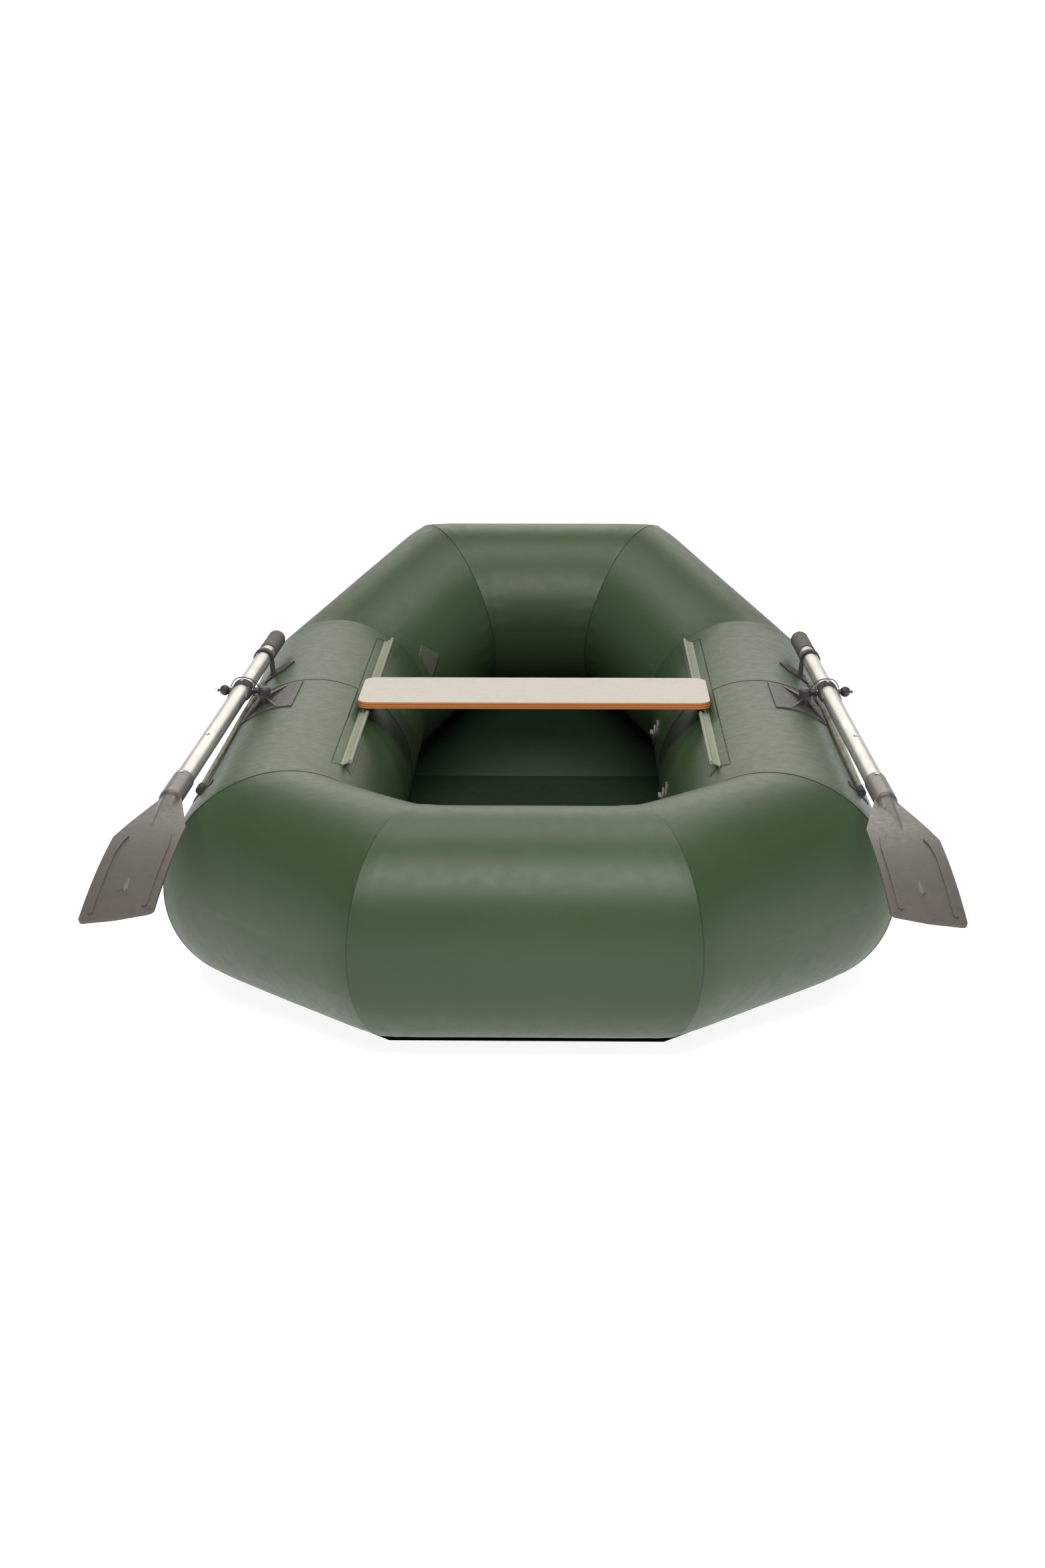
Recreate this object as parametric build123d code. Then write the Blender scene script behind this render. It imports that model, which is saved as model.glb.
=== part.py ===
from build123d import *
from math import atan2, cos, degrees, hypot, pi, radians, sin, tan
import os

os.makedirs("parts", exist_ok=True)

# One-seat inflatable rowing dinghy. Millimetres. +Y points to the bow, +X to
# starboard, +Z up. The origin is on the underside of the bottom sheet, at the
# middle of the hull's length and beam.

# ---- hull ring ----------------------------------------------------------
hull_length = 2000.0
hull_beam = 1142.0
tube_diameter = 345.0
skin_t = 0.9
bottom_t = 0.9
stern_tube_span = 374.0
bow_tube_span = 379.0
stern_corner_y = -622.6
bow_corner_y = 541.6
bow_rise = 143.2
bottom_lap = 45.0
fold_spare = 5.0
bulkhead_t = 0.9
seam_y = 0.0

# ---- seat and its rails -------------------------------------------------
rail_aft_y = -488.0
rail_fore_y = 430.0
rail_patch_in_deg = 129.6
rail_patch_out_deg = 116.3
rail_root_deg = 122.5
rail_bead_in = 107.5
rail_bead_lift = 152.6
rail_cord_r = 2.5
hem_r = rail_cord_r + 0.9
fin_t = 1.6
seat_overhang = 18.0
seat_depth = 190.0
seat_t = 12.0
seat_corner_r = 24.0
seat_y = -72.0
channel_clear = 0.6
channel_wall = 2.8
channel_flange_t = 2.0
channel_flange_in = 20.0
channel_flange_out = 9.0
channel_end_inset = 10.0
channel_slot = 4.4
seat_screw_r = 1.9
seat_screw_head_r = 3.8
seat_screw_depth = 9.0
seat_screw_pitch = 46.0

# ---- oarlocks; the pin and shaft sizes set the fits round them ------------
shaft_r = 15.0
shaft_wall = 1.2
pin_r = 4.0
post_r = 7.0
oarlock_out = 79.5
oarlock_y = -105.0
pin_above_tube = 4.6
oar_yaw_deg = 1.2
plate_t = 2.5
plate_in = 58.5
plate_out = 33.5
plate_half_in = 94.0
plate_half_out = 63.5
rib_t = 4.0
rib_top_drop = 10.0
barrel_r = post_r + 5.0
barrel_top_drop = pin_r + 2.0
running_clear = 0.05
dome_r = 11.0
dome_h = 7.0
arm_r = pin_r + 1.4
flange_r = 10.0
flange_x = 17.5
flange_t = 2.5
collar_r = shaft_r + 2.5
collar_rib_proud = 1.0
collar_side_gap = 0.5
stop_gap = 0.6
arm_reach = flange_x + flange_t + collar_side_gap + collar_r + collar_rib_proud
pin_inner_x = 8.0
neck_start = arm_reach + collar_r + collar_rib_proud + stop_gap
pin_outer_x = neck_start + 5.9
knob_x = neck_start + 12.4
neck_r = pin_r + 0.9
knob_r = 9.4
knob_lobes = 12
ring_r = 3.6
ring_wire_r = 0.6
eye_reach = 1.0
eye_r = 2.4
eye_wall = 1.0
eye_hole_r = 1.9
leash_r = 1.0

# ---- oars ---------------------------------------------------------------
grip_end_t = 432.0
grip_near_t = 304.0
grip_r = shaft_r + 2.0
joint_t = -346.0
socket_t = -583.0
neck_t = -691.0
shoulder_t = -850.0
spine_end_t = -1046.0
tip_t = -1121.0
ferrule_wall = 1.2
ferrule_len = 150.0
button_r = 3.5
button_offset = 14.0
button_proud = 2.2
collar_len = 28.0
collar_tail = 50.0
collar_boss_r = pin_r + 4.0
collar_half_x = shaft_r + 1.5
fixing_r = 1.6
fixing_head_r = 2.8
blade_tilt_deg = 9.0
blade_t = 4.0
blade_half_neck = shaft_r + 2.0
blade_half_shoulder = 53.0
blade_half_tip = 51.5
blade_bend_start_t = -760.0
blade_bend_r = 1724.0
blade_corner_r = 9.0
blade_shoulder_r = 30.0
blade_tip_bow = 4.0
socket_r = shaft_r + 2.0
spine_r_neck = shaft_r - 1.0
spine_r_end = 4.5
blade_rib_w = 7.0
blade_rib_proud = 2.2

# ---- oar holders and side ropes -----------------------------------------
holder_y = 150.0
holder_w = 16.0
holder_clear = 0.6
holder_wall = 3.2
rope_r = 4.2
rope_gap = 0.3

# ---- air valves ---------------------------------------------------------
valve_fore_y = 190.0
valve_aft_y = -240.0
valve_deg = 172.0
valve_flange_r = 25.0
valve_bore_r = 12.0
valve_barrel_r = valve_bore_r + 4.0
valve_depth = 22.0

# ---- worked out from the above ------------------------------------------
tube_r = tube_diameter / 2
tube_z = tube_r + bottom_t
side_x = hull_beam / 2 - tube_r
bow_end_y = hull_length / 2 - tube_r
stern_end_y = -bow_end_y
rail_bead_x = side_x - rail_bead_in
seat_width = 2 * (rail_bead_x + seat_overhang)
oarlock_x = side_x + oarlock_out
plate_in_x = oarlock_x - plate_in
plate_out_x = oarlock_x + plate_out
pin_z = tube_z + tube_r + pin_above_tube
bow_run = bow_end_y - bow_corner_y
bow_slope = atan2(bow_rise, bow_run)
fold_y = bow_corner_y + (tube_r + bottom_t) * tan(bow_slope / 2)

stern_end = Vector(stern_tube_span / 2, stern_end_y, tube_z)
stern_corner = Vector(side_x, stern_corner_y, tube_z)
mid_seam = Vector(side_x, seam_y, tube_z)
bow_corner = Vector(side_x, bow_corner_y, tube_z)
bow_end = Vector(bow_tube_span / 2, bow_end_y, tube_z + bow_rise)


def save(shape, name):
    export_step(shape, f"parts/{name}.step")


def save_pair(shape, name):
    """The starboard piece and its mirror image to port."""
    save(shape, f"{name}_right")
    save(mirror(shape, about=Plane.YZ), f"{name}_left")


def on_tube(angle_deg, y, radius):
    """A point beside the starboard side tube, at an angle from outboard."""
    a = radians(angle_deg)
    return Vector(side_x + radius * cos(a), y, tube_z + radius * sin(a))


def tube_top_at(x, radius=tube_r):
    return tube_z + (radius**2 - (x - side_x) ** 2) ** 0.5


def side_rod(radius, y_low, y_high):
    """A solid rod on the starboard side tube's centreline."""
    base = Plane(origin=(side_x, y_low, tube_z), z_dir=(0, 1, 0))
    return extrude(base * Circle(radius), amount=y_high - y_low)


# ---- hull: eight welded skins, each a mitred length of tube ---------------
def skin_length(start, end, before, after):
    """One tube length, cut at the bisector planes it shares with its neighbours."""
    along = (end - start).normalized()
    reach = tube_diameter
    base = Plane(origin=start - along * reach, z_dir=along)
    ring = Circle(tube_r) - Circle(tube_r - skin_t)
    pipe = extrude(base * ring, amount=(end - start).length + 2 * reach)
    cut_start = Plane(origin=start, z_dir=(before + along).normalized())
    cut_end = Plane(origin=end, z_dir=(along + after).normalized())
    pipe = split(pipe, bisect_by=cut_start, keep=Keep.TOP)
    return split(pipe, bisect_by=cut_end, keep=Keep.BOTTOM)


def mirrored_x(point):
    return Vector(-point.X, point.Y, point.Z)


half_seam = Vector(0, bulkhead_t / 2, 0)
to_bow = Vector(0, 1, 0)
across = Vector(1, 0, 0)
stern_quarter_dir = (stern_corner - stern_end).normalized()
bow_quarter_dir = (bow_end - bow_corner).normalized()

stern_tube = skin_length(
    mirrored_x(stern_end),
    stern_end,
    (mirrored_x(stern_end) - mirrored_x(stern_corner)).normalized(),
    stern_quarter_dir,
)
stern_quarter = skin_length(stern_end, stern_corner, across, to_bow)
side_aft = skin_length(stern_corner, mid_seam - half_seam, stern_quarter_dir, to_bow)
side_fore = skin_length(mid_seam + half_seam, bow_corner, to_bow, bow_quarter_dir)
bow_quarter = skin_length(bow_corner, bow_end, to_bow, across * -1)
bow_tube = skin_length(
    bow_end,
    mirrored_x(bow_end),
    bow_quarter_dir,
    (mirrored_x(bow_corner) - mirrored_x(bow_end)).normalized(),
)


# ---- air valves: on the cockpit face of the starboard tube -----------------
def valve_plane(y):
    """Origin on the tube's skin, z pointing out of the tube into the cockpit."""
    out = on_tube(valve_deg, 0, 1) - on_tube(valve_deg, 0, 0)
    return Plane(origin=on_tube(valve_deg, y, tube_r), x_dir=(0, 1, 0), z_dir=out)


def disc(radius, low, high, inner=0.0):
    face = Circle(radius)
    if inner:
        face = face - Circle(inner)
    return extrude(Plane.XY.offset(low) * face, amount=high - low)


valve_flange_top = 3.0
valve_bar_low = -14.0
valve_bar_high = -11.0
valve_stem_r = 2.0
valve_seat_r = 8.5
valve_cap_gap = 0.3


def valve_body(y):
    flange = disc(valve_flange_r, -6.0, valve_flange_top, valve_bore_r)
    edge = flange.edges().filter_by(GeomType.CIRCLE).group_by(Axis.Z)[-1].sort_by(SortBy.RADIUS)[-1]
    flange = fillet(edge, 1.2)
    flange = valve_plane(y) * flange - side_rod(tube_r, y - 60, y + 60)
    barrel = disc(valve_barrel_r, -valve_depth, 1.0, valve_bore_r)
    seat = disc(valve_bore_r + 1, -valve_depth, -valve_depth + 3, valve_seat_r)
    bar = Pos(0, 0, (valve_bar_low + valve_bar_high) / 2) * Box(
        2 * valve_bore_r + 2, 7.0, valve_bar_high - valve_bar_low
    )
    bar -= disc(valve_stem_r + 0.1, valve_bar_low - 1, valve_bar_high + 1)
    return flange + valve_plane(y) * (barrel + seat + bar)


def valve_poppet(y):
    seal_top = -valve_depth - 0.3
    seal = disc(10.5, seal_top - 2.5, seal_top)
    stem = disc(valve_stem_r, seal_top - 1, -4.0)
    head = disc(5.0, -4.0, -2.5)
    return valve_plane(y) * (seal + stem + head)


def valve_spring(y):
    wire_r = 0.45
    coil_r = 3.3
    free_h = 6.0
    pitch = 1.9
    path = Helix(pitch, free_h, coil_r)
    coil = sweep(Plane(origin=path @ 0, z_dir=path % 0) * Circle(wire_r), path=path)
    return valve_plane(y) * (Pos(0, 0, valve_bar_high + wire_r + 0.02) * coil)


def valve_cap(y):
    low = valve_flange_top + valve_cap_gap
    top = disc(15.0, low, low + 3.0)
    top = fillet(top.edges().group_by(Axis.Z)[-1], 1.0)
    skirt = disc(valve_bore_r - 0.2, -3.0 + valve_cap_gap, low + 0.5, 9.0)
    grip = Pos(0, 0, low + 5.5) * Box(24.0, 5.0, 6.0)
    grip = fillet(grip.edges().filter_by(Axis.Z), 2.0)
    return valve_plane(y) * (top + skirt + grip)


def valve_hole(y):
    return valve_plane(y) * disc(valve_barrel_r, -40, 20)


save(stern_tube, "stern_tube")
save_pair(stern_quarter, "stern_quarter")
save(side_aft - valve_hole(valve_aft_y), "side_tube_right_aft")
save(mirror(side_aft, about=Plane.YZ), "side_tube_left_aft")
save(side_fore - valve_hole(valve_fore_y), "side_tube_right_fore")
save(mirror(side_fore, about=Plane.YZ), "side_tube_left_fore")
save_pair(bow_quarter, "bow_quarter")
save(bow_tube, "bow_tube")
for end_name, valve_y in (("fore", valve_fore_y), ("aft", valve_aft_y)):
    save(valve_body(valve_y), f"valve_body_{end_name}")
    save(valve_cap(valve_y), f"valve_cap_{end_name}")
    save(valve_poppet(valve_y), f"valve_poppet_{end_name}")
    save(valve_spring(valve_y), f"valve_spring_{end_name}")

bulkhead = side_rod(tube_r, seam_y - bulkhead_t / 2, seam_y + bulkhead_t / 2)
save(Compound([bulkhead, mirror(bulkhead, about=Plane.YZ)]), "bulkheads")


# ---- bottom: a flat sheet and a raised sheet under the bow ----------------
def half_outline(points):
    """A closed outline from starboard points, repeated to port."""
    port = [(-x, y) for x, y in reversed(points)]
    return make_face(Polyline(*points, *port, close=True))


def outset_corners(points, lap):
    """Starboard corners moved out by lap, square to the sides they join."""
    moved = []
    for index, (x, y) in enumerate(points):
        before = points[index - 1] if index else (-x, y)
        after = points[index + 1] if index + 1 < len(points) else (-x, y)
        a_in = atan2(y - before[1], x - before[0])
        a_out = atan2(after[1] - y, after[0] - x)
        mid = (a_in + a_out) / 2
        scale = lap / cos((a_out - a_in) / 2)
        moved.append((x + scale * sin(mid), y - scale * cos(mid)))
    return moved


flat_aft = outset_corners([(stern_end.X, stern_end_y), (side_x, stern_corner_y), (side_x, 0)], bottom_lap)

slope_plane = Plane(
    origin=(0, bow_corner_y, tube_z),
    x_dir=(1, 0, 0),
    z_dir=(0, -sin(bow_slope), cos(bow_slope)),
).offset(-(tube_r + bottom_t))
slope_run = hypot(bow_rise, bow_run)
slope_fold = -(tube_r + bottom_t) * tan(bow_slope / 2)
slope_corners = outset_corners([(side_x, -slope_run), (side_x, 0), (bow_end.X, slope_run)], bottom_lap)
slope_points = [(side_x + bottom_lap, slope_fold - fold_spare), *slope_corners[1:]]
slope_sheet = extrude(slope_plane * half_outline(slope_points), amount=bottom_t)
fold_plane = Plane(origin=(0, fold_y, 0), z_dir=(0, cos(bow_slope / 2), sin(bow_slope / 2)))
flat_points = [*flat_aft[:2], (side_x + bottom_lap, fold_y + fold_spare)]
long_flat = extrude(half_outline(flat_points), amount=bottom_t)
save(split(long_flat, bisect_by=fold_plane, keep=Keep.BOTTOM), "bottom_sheet")
save(split(slope_sheet, bisect_by=fold_plane, keep=Keep.TOP), "bow_bottom_sheet")


# ---- seat rails: a glued patch, a fin and a corded hem ---------------------
bead = Vector(rail_bead_x, 0, tube_z + rail_bead_lift)
rail_len = rail_fore_y - rail_aft_y


def section_plane(y):
    """Sketch x is the boat's +X and sketch y is +Z; extrudes towards the bow."""
    return Plane(origin=(0, y, 0), x_dir=(1, 0, 0), z_dir=(0, -1, 0))


def along_y(sketch, y_low, y_high):
    return extrude(section_plane(y_high) * sketch, amount=y_high - y_low)


def ring_sector(center, inner, outer, from_deg, to_deg):
    """Flat ring sector in the boat's cross-section plane."""
    mid_deg = (from_deg + to_deg) / 2

    def at(radius, angle):
        a = radians(angle)
        return (center[0] + radius * cos(a), center[1] + radius * sin(a))

    outer_arc = ThreePointArc(at(outer, from_deg), at(outer, mid_deg), at(outer, to_deg))
    inner_arc = ThreePointArc(at(inner, to_deg), at(inner, mid_deg), at(inner, from_deg))
    close_a = Line(at(outer, to_deg), at(inner, to_deg))
    close_b = Line(at(inner, from_deg), at(outer, from_deg))
    return make_face([outer_arc, close_a, inner_arc, close_b])


def strip(p, q, thickness):
    """A straight strip of sketch from p to q."""
    dx, dz = q[0] - p[0], q[1] - p[1]
    angle = degrees(atan2(dz, dx))
    mid = Pos((p[0] + q[0]) / 2, (p[1] + q[1]) / 2)
    return mid * Rot(0, 0, angle) * Rectangle(hypot(dx, dz), thickness)


patch = ring_sector(
    (side_x, tube_z), tube_r, tube_r + skin_t, rail_patch_out_deg, rail_patch_in_deg
)
root = on_tube(rail_root_deg, 0, tube_r + skin_t / 2)
fin_dir = (root - bead).normalized()
fin_from = bead + fin_dir * (hem_r - 0.3)
fin = strip((fin_from.X, fin_from.Z), (root.X, root.Z), fin_t)
hem = Pos(bead.X, bead.Z) * (Circle(hem_r) - Circle(rail_cord_r + 0.02))
save_pair(along_y(patch + fin + hem, rail_aft_y, rail_fore_y), "seat_rail")
rail_cord = along_y(Pos(bead.X, bead.Z) * Circle(rail_cord_r), rail_aft_y, rail_fore_y)
save(Compound([rail_cord, mirror(rail_cord, about=Plane.YZ)]), "rail_cords")

# ---- seat: laminated plank on two slotted channels -------------------------
channel_bore_r = hem_r + channel_clear
channel_r = channel_bore_r + channel_wall
seat_bottom = bead.Z + channel_r
seat_aft = seat_y - seat_depth / 2
seat_fore = seat_y + seat_depth / 2

plank = Pos(0, seat_y, seat_bottom + seat_t / 2) * Box(seat_width, seat_depth, seat_t)
plank = fillet(plank.edges().filter_by(Axis.Z), seat_corner_r)
plank = fillet(plank.faces().filter_by(Plane.XY).edges(), 1.2)

flange_top = seat_bottom
flange_low = seat_bottom - channel_flange_t
flange_mid_x = bead.X + (channel_flange_out - channel_flange_in) / 2
flange_face = Pos(flange_mid_x, (flange_top + flange_low) / 2) * Rectangle(
    channel_flange_in + channel_flange_out, channel_flange_t
)
channel_face = flange_face + Pos(bead.X, bead.Z) * Circle(channel_r)
channel_face -= Pos(bead.X, bead.Z) * Circle(channel_bore_r)
slot_end = bead + fin_dir * (channel_r + 4)
channel_face -= strip((bead.X, bead.Z), (slot_end.X, slot_end.Z), channel_slot)
channel = along_y(channel_face, seat_aft + channel_end_inset, seat_fore - channel_end_inset)

screw_x = bead.X - (channel_r + channel_flange_in) / 2
screw_ys = [seat_y + (i - 1.5) * seat_screw_pitch for i in range(4)]


def seat_screw(x, y):
    shank = Pos(x, y, flange_low) * disc(seat_screw_r, 0, seat_screw_depth)
    head = Pos(x, y, flange_low) * disc(seat_screw_head_r, -2.0, 0)
    head = fillet(head.edges().group_by(Axis.Z)[0], 0.9)
    drive = Pos(x, y, flange_low - 1.6) * (Box(4.4, 0.9, 0.9) + Box(0.9, 4.4, 0.9))
    return shank + head - drive


screw_holes = [Pos(x, y, flange_low) * disc(seat_screw_r, 0, seat_screw_depth)
               for y in screw_ys for x in (screw_x, -screw_x)]
for hole in screw_holes:
    plank -= hole
for y in screw_ys:
    channel -= Pos(screw_x, y, flange_low) * disc(seat_screw_r, -1, channel_flange_t + 1)
save(plank, "seat_plank")
save(Compound([channel, mirror(channel, about=Plane.YZ)]), "seat_channels")
save(Compound([seat_screw(x, y) for y in screw_ys for x in (screw_x, -screw_x)]), "seat_screws")


# ---- oarlocks: glued base, turning head, cross pin, stop knob -------------
pivot = Pos(oarlock_x, oarlock_y, pin_z) * Rot(0, 0, oar_yaw_deg)


def plan_prism(points, low=0.0, high=600.0):
    return extrude(Plane.XY.offset(low) * make_face(Polyline(*points, close=True)), amount=high - low)


def plate_on_tube(points, thickness):
    """A plate that follows the side tube's skin, cut to a plan outline."""
    ys = [p[1] for p in points]
    shell = side_rod(tube_r + thickness, min(ys) - 5, max(ys) + 5) - side_rod(
        tube_r, min(ys) - 6, max(ys) + 6
    )
    return shell & plan_prism(points, tube_z + 20)


def corner_rib(corner_x, corner_y):
    """A thin web from the barrel down to one corner of the plate."""
    dx, dy = corner_x - oarlock_x, corner_y - oarlock_y
    run = hypot(dx, dy)
    foot_z = tube_top_at(corner_x, tube_r + plate_t) + 0.4
    web = make_face(Polyline(
        (barrel_r - 3, pin_z - rib_top_drop),
        (run, foot_z),
        (run, tube_z + 40),
        (barrel_r - 3, tube_z + 40),
        close=True,
    ))
    upright = Plane(origin=(oarlock_x, oarlock_y, 0), x_dir=(dx, dy, 0), z_dir=(dy, -dx, 0))
    web = extrude(upright * web, amount=rib_t / 2, both=True)
    return web - side_rod(tube_r + plate_t - 0.2, oarlock_y - 120, oarlock_y + 120)


base_outline = [
    (plate_in_x, oarlock_y + plate_half_in),
    (plate_in_x, oarlock_y - plate_half_in),
    (plate_out_x, oarlock_y - plate_half_out),
    (plate_out_x, oarlock_y + plate_half_out),
]
barrel_top = pin_z - barrel_top_drop
base = plate_on_tube(base_outline, plate_t)
barrel = Pos(oarlock_x, oarlock_y, 0) * disc(barrel_r, tube_z + 100, barrel_top)
base += barrel - side_rod(tube_r + plate_t - 0.2, oarlock_y - 60, oarlock_y + 60)
for rib_x, rib_half in ((plate_in_x + 26, plate_half_in - 12), (plate_out_x - 5, plate_half_out - 4)):
    for sign in (-1, 1):
        base += corner_rib(rib_x, oarlock_y + sign * rib_half)
post_floor = tube_top_at(oarlock_x) + plate_t + 2.0
base -= Pos(oarlock_x, oarlock_y, 0) * disc(post_r + running_clear, post_floor, pin_z + 20)
save_pair(base, "oarlock_base")

post = disc(post_r, post_floor + 0.3 - pin_z, 0)
dome = disc(dome_r, -barrel_top_drop + 0.3, dome_h)
dome = fillet(dome.edges().group_by(Axis.Z)[-1], 5.5)
along_x = Plane(origin=(0, 0, 0), x_dir=(0, 1, 0), z_dir=(1, 0, 0))


def rod_x(radius, x_low, x_high, inner=0.0):
    """A rod or tube along the cross pin's line."""
    face = Circle(radius)
    if inner:
        face = face - Circle(inner)
    return extrude(along_x.offset(x_low) * face, amount=x_high - x_low)


arm = rod_x(arm_r, 0, flange_x)
flange_disc = rod_x(flange_r, flange_x, flange_x + flange_t)
head = post + dome + arm + flange_disc
head -= rod_x(pin_r, pin_inner_x, flange_x + flange_t + 1)
save_pair(pivot * head, "oarlock_head")
save_pair(pivot * rod_x(pin_r, pin_inner_x, pin_outer_x), "cross_pin")

knob = Pos(knob_x, 0, 0) * Sphere(knob_r)
for i in range(knob_lobes):
    a = 2 * pi * i / knob_lobes
    groove = Pos(knob_x, (knob_r + 0.9) * cos(a), (knob_r + 0.9) * sin(a)) * Rot(0, 90, 0)
    knob -= groove * Cylinder(1.7, 3 * knob_r)
neck = rod_x(neck_r, neck_start, knob_x - 4)
eye_x = knob_x + knob_r + eye_reach
knob_eye = rod_x(eye_r, knob_x + knob_r - 1.5, eye_x + eye_hole_r + eye_wall)
knob = knob + neck + knob_eye
knob -= rod_x(pin_r, neck_start - 1, pin_outer_x)
knob -= Pos(eye_x, 0, 0) * Cylinder(eye_hole_r, 12)
save_pair(pivot * knob, "stop_knob")
pull_ring = Pos(eye_x + ring_r, 0, 0) * Rot(90, 0, 0) * Torus(ring_r, ring_wire_r)
save_pair(pivot * pull_ring, "pull_ring")


# ---- cords: straight runs joined by tangent arcs ---------------------------
def cord_tube(points, radius, name):
    pts = [Vector(*p) for p in points]
    radii = []
    for a, b, c in zip(pts, pts[1:], pts[2:]):
        turn = (b - a).get_angle(c - b)
        shorter = min((b - a).length, (c - b).length)
        radii.append(0.45 * shorter / tan(radians(turn) / 2))
    path = FilletPolyline(*pts, radius=radii)
    print(name, "length", round(path.length, 1), "radii", [round(r, 1) for r in radii])
    tube = sweep(Plane(origin=path @ 0, z_dir=path % 0) * Circle(radius), path=path)
    print(name, "volume ratio", round(tube.volume / (pi * radius**2 * path.length), 4))
    return tube


leash_route = [
    (9.5, 0.0, 6.0),
    (19.0, 1.0, 20.0),
    (38.0, 2.5, 23.5),
    (54.0, 1.0, 21.0),
    (59.6, 0.0, 6.2),
]
leash = cord_tube(leash_route, leash_r, "knob_leash")
save_pair(pivot * leash, "knob_leash")


# ---- oars: local y runs along the shaft, the cross pin is at y = 0 --------
shaft_axis = Plane(origin=(arm_reach, 0, 0), x_dir=(1, 0, 0), z_dir=(0, 1, 0))


def rod_y(radius, t_low, t_high, inner=0.0):
    """A rod or tube along the shaft, between two distances from the cross pin."""
    face = Circle(radius)
    if inner:
        face = face - Circle(inner)
    return extrude(shaft_axis.offset(t_low) * face, amount=t_high - t_low)


shaft_in_r = shaft_r - shaft_wall
pin_bore = rod_x(pin_r + running_clear, 0, pin_outer_x + 20)
shaft_upper = rod_y(shaft_r, joint_t, grip_end_t - 6, shaft_in_r) - pin_bore
button_t = joint_t - button_offset
button_hole = Pos(arm_reach, button_t, 0) * disc(button_r + 0.1, 0, 2 * shaft_r)
rivet_t = socket_t - 12.0
rivet_hole = Pos(arm_reach, rivet_t, 0) * disc(2.0, 0, 2 * socket_r)
shaft_lower = rod_y(shaft_r, neck_t, joint_t, shaft_in_r) - button_hole - rivet_hole
ferrule = rod_y(shaft_in_r, joint_t - ferrule_len / 2, joint_t + ferrule_len / 2, shaft_in_r - ferrule_wall)
ferrule -= button_hole
save_pair(pivot * shaft_lower, "shaft_lower")
save_pair(pivot * ferrule, "shaft_ferrule")

button_base = shaft_in_r - ferrule_wall - 4.0
button = disc(button_r, button_base, shaft_r + button_proud)
button = fillet(button.edges().group_by(Axis.Z)[-1], 1.2)
button_foot = disc(5.2, button_base - 1.2, button_base)
save_pair(pivot * (Pos(arm_reach, button_t, 0) * (button + button_foot)), "snap_button")

grip = rod_y(grip_r, grip_near_t, grip_end_t)
grip = fillet(grip.edges().group_by(Axis.Y)[-1], 8.0)
grip = fillet(grip.edges().group_by(Axis.Y)[0], 1.0)
grip -= rod_y(shaft_r, grip_near_t - 1, grip_end_t - 6)
save_pair(pivot * grip, "oar_grip")

half_collar = collar_len / 2
collar = rod_y(collar_r, -half_collar - collar_tail, half_collar, shaft_r)
tail_profile = make_face(Polyline(
    (half_collar, -30), (half_collar, 30), (-half_collar, 30), (-half_collar, 12),
    (-half_collar - collar_tail, 3), (-half_collar - collar_tail, -3),
    (-half_collar, -12), (-half_collar, -30), close=True,
))
side_view = Plane(origin=(0, 0, 0), x_dir=(0, 1, 0), z_dir=(1, 0, 0))
collar &= extrude(side_view * tail_profile, amount=2 * arm_reach)
for rib_y in (-9.0, 0.0, 9.0):
    collar += rod_y(collar_r + collar_rib_proud, rib_y - 1.5, rib_y + 1.5, shaft_r)
boss_span = (arm_reach - collar_half_x, arm_reach + collar_half_x)
collar += rod_x(collar_boss_r, *boss_span) - rod_y(shaft_r, -collar_len, collar_len)
collar -= rod_x(pin_r + running_clear, 0, pin_outer_x + 20)


def collar_screw(offset):
    """A short screw that holds the collar to the shaft, from above."""
    at = Pos(arm_reach, offset, 0)
    seat = collar_r + collar_rib_proud
    return at * (disc(fixing_r, shaft_in_r, seat) + disc(fixing_head_r, seat, seat + 1.0))


screw_offsets = (-5.0, 5.0)
for offset in screw_offsets:
    collar -= Pos(arm_reach, offset, 0) * disc(fixing_r, 0, 2 * shaft_r)
    shaft_upper -= Pos(arm_reach, offset, 0) * disc(fixing_r, 0, 2 * shaft_r)
save_pair(pivot * shaft_upper, "shaft_upper")
save_pair(pivot * collar, "oar_collar")
socket_rivet = Pos(arm_reach, rivet_t, 0) * (
    disc(2.0, shaft_in_r - 0.8, socket_r) + disc(3.4, socket_r, socket_r + 1.0)
)
fasteners = [pivot * collar_screw(offset) for offset in screw_offsets]
fasteners.append(pivot * socket_rivet)
save(Compound(fasteners), "oar_fasteners_right")
save(Compound([mirror(f, about=Plane.YZ) for f in fasteners]), "oar_fasteners_left")


# ---- blade: a bent plate with a tapered spine, a socket and edge ribs ------
def blade_slab(thickness, t_far):
    """A plate of even thickness, flat at first, then bending down to the tip."""
    t0 = blade_bend_start_t
    run = t0 - t_far
    end_angle = run / blade_bend_r

    def at(angle, radius):
        return (t0 - radius * sin(angle), -blade_bend_r + radius * cos(angle))

    outer = blade_bend_r + thickness / 2
    inner = blade_bend_r - thickness / 2
    start = neck_t + 2
    top = Line((start, thickness / 2), (t0, thickness / 2))
    top_arc = ThreePointArc(at(0, outer), at(end_angle / 2, outer), at(end_angle, outer))
    end = Line(at(end_angle, outer), at(end_angle, inner))
    low_arc = ThreePointArc(at(end_angle, inner), at(end_angle / 2, inner), at(0, inner))
    low = Line((t0, -thickness / 2), (start, -thickness / 2))
    close = Line((start, -thickness / 2), (start, thickness / 2))
    face = make_face([top, top_arc, end, low_arc, low, close])
    return extrude(side_view * face, amount=90, both=True)


def tall_prism(face):
    return extrude(Plane.XY.offset(-120) * face, amount=200)


def blade_drop(t):
    past = max(0.0, blade_bend_start_t - t)
    return blade_bend_r - (blade_bend_r**2 - past**2) ** 0.5


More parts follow.
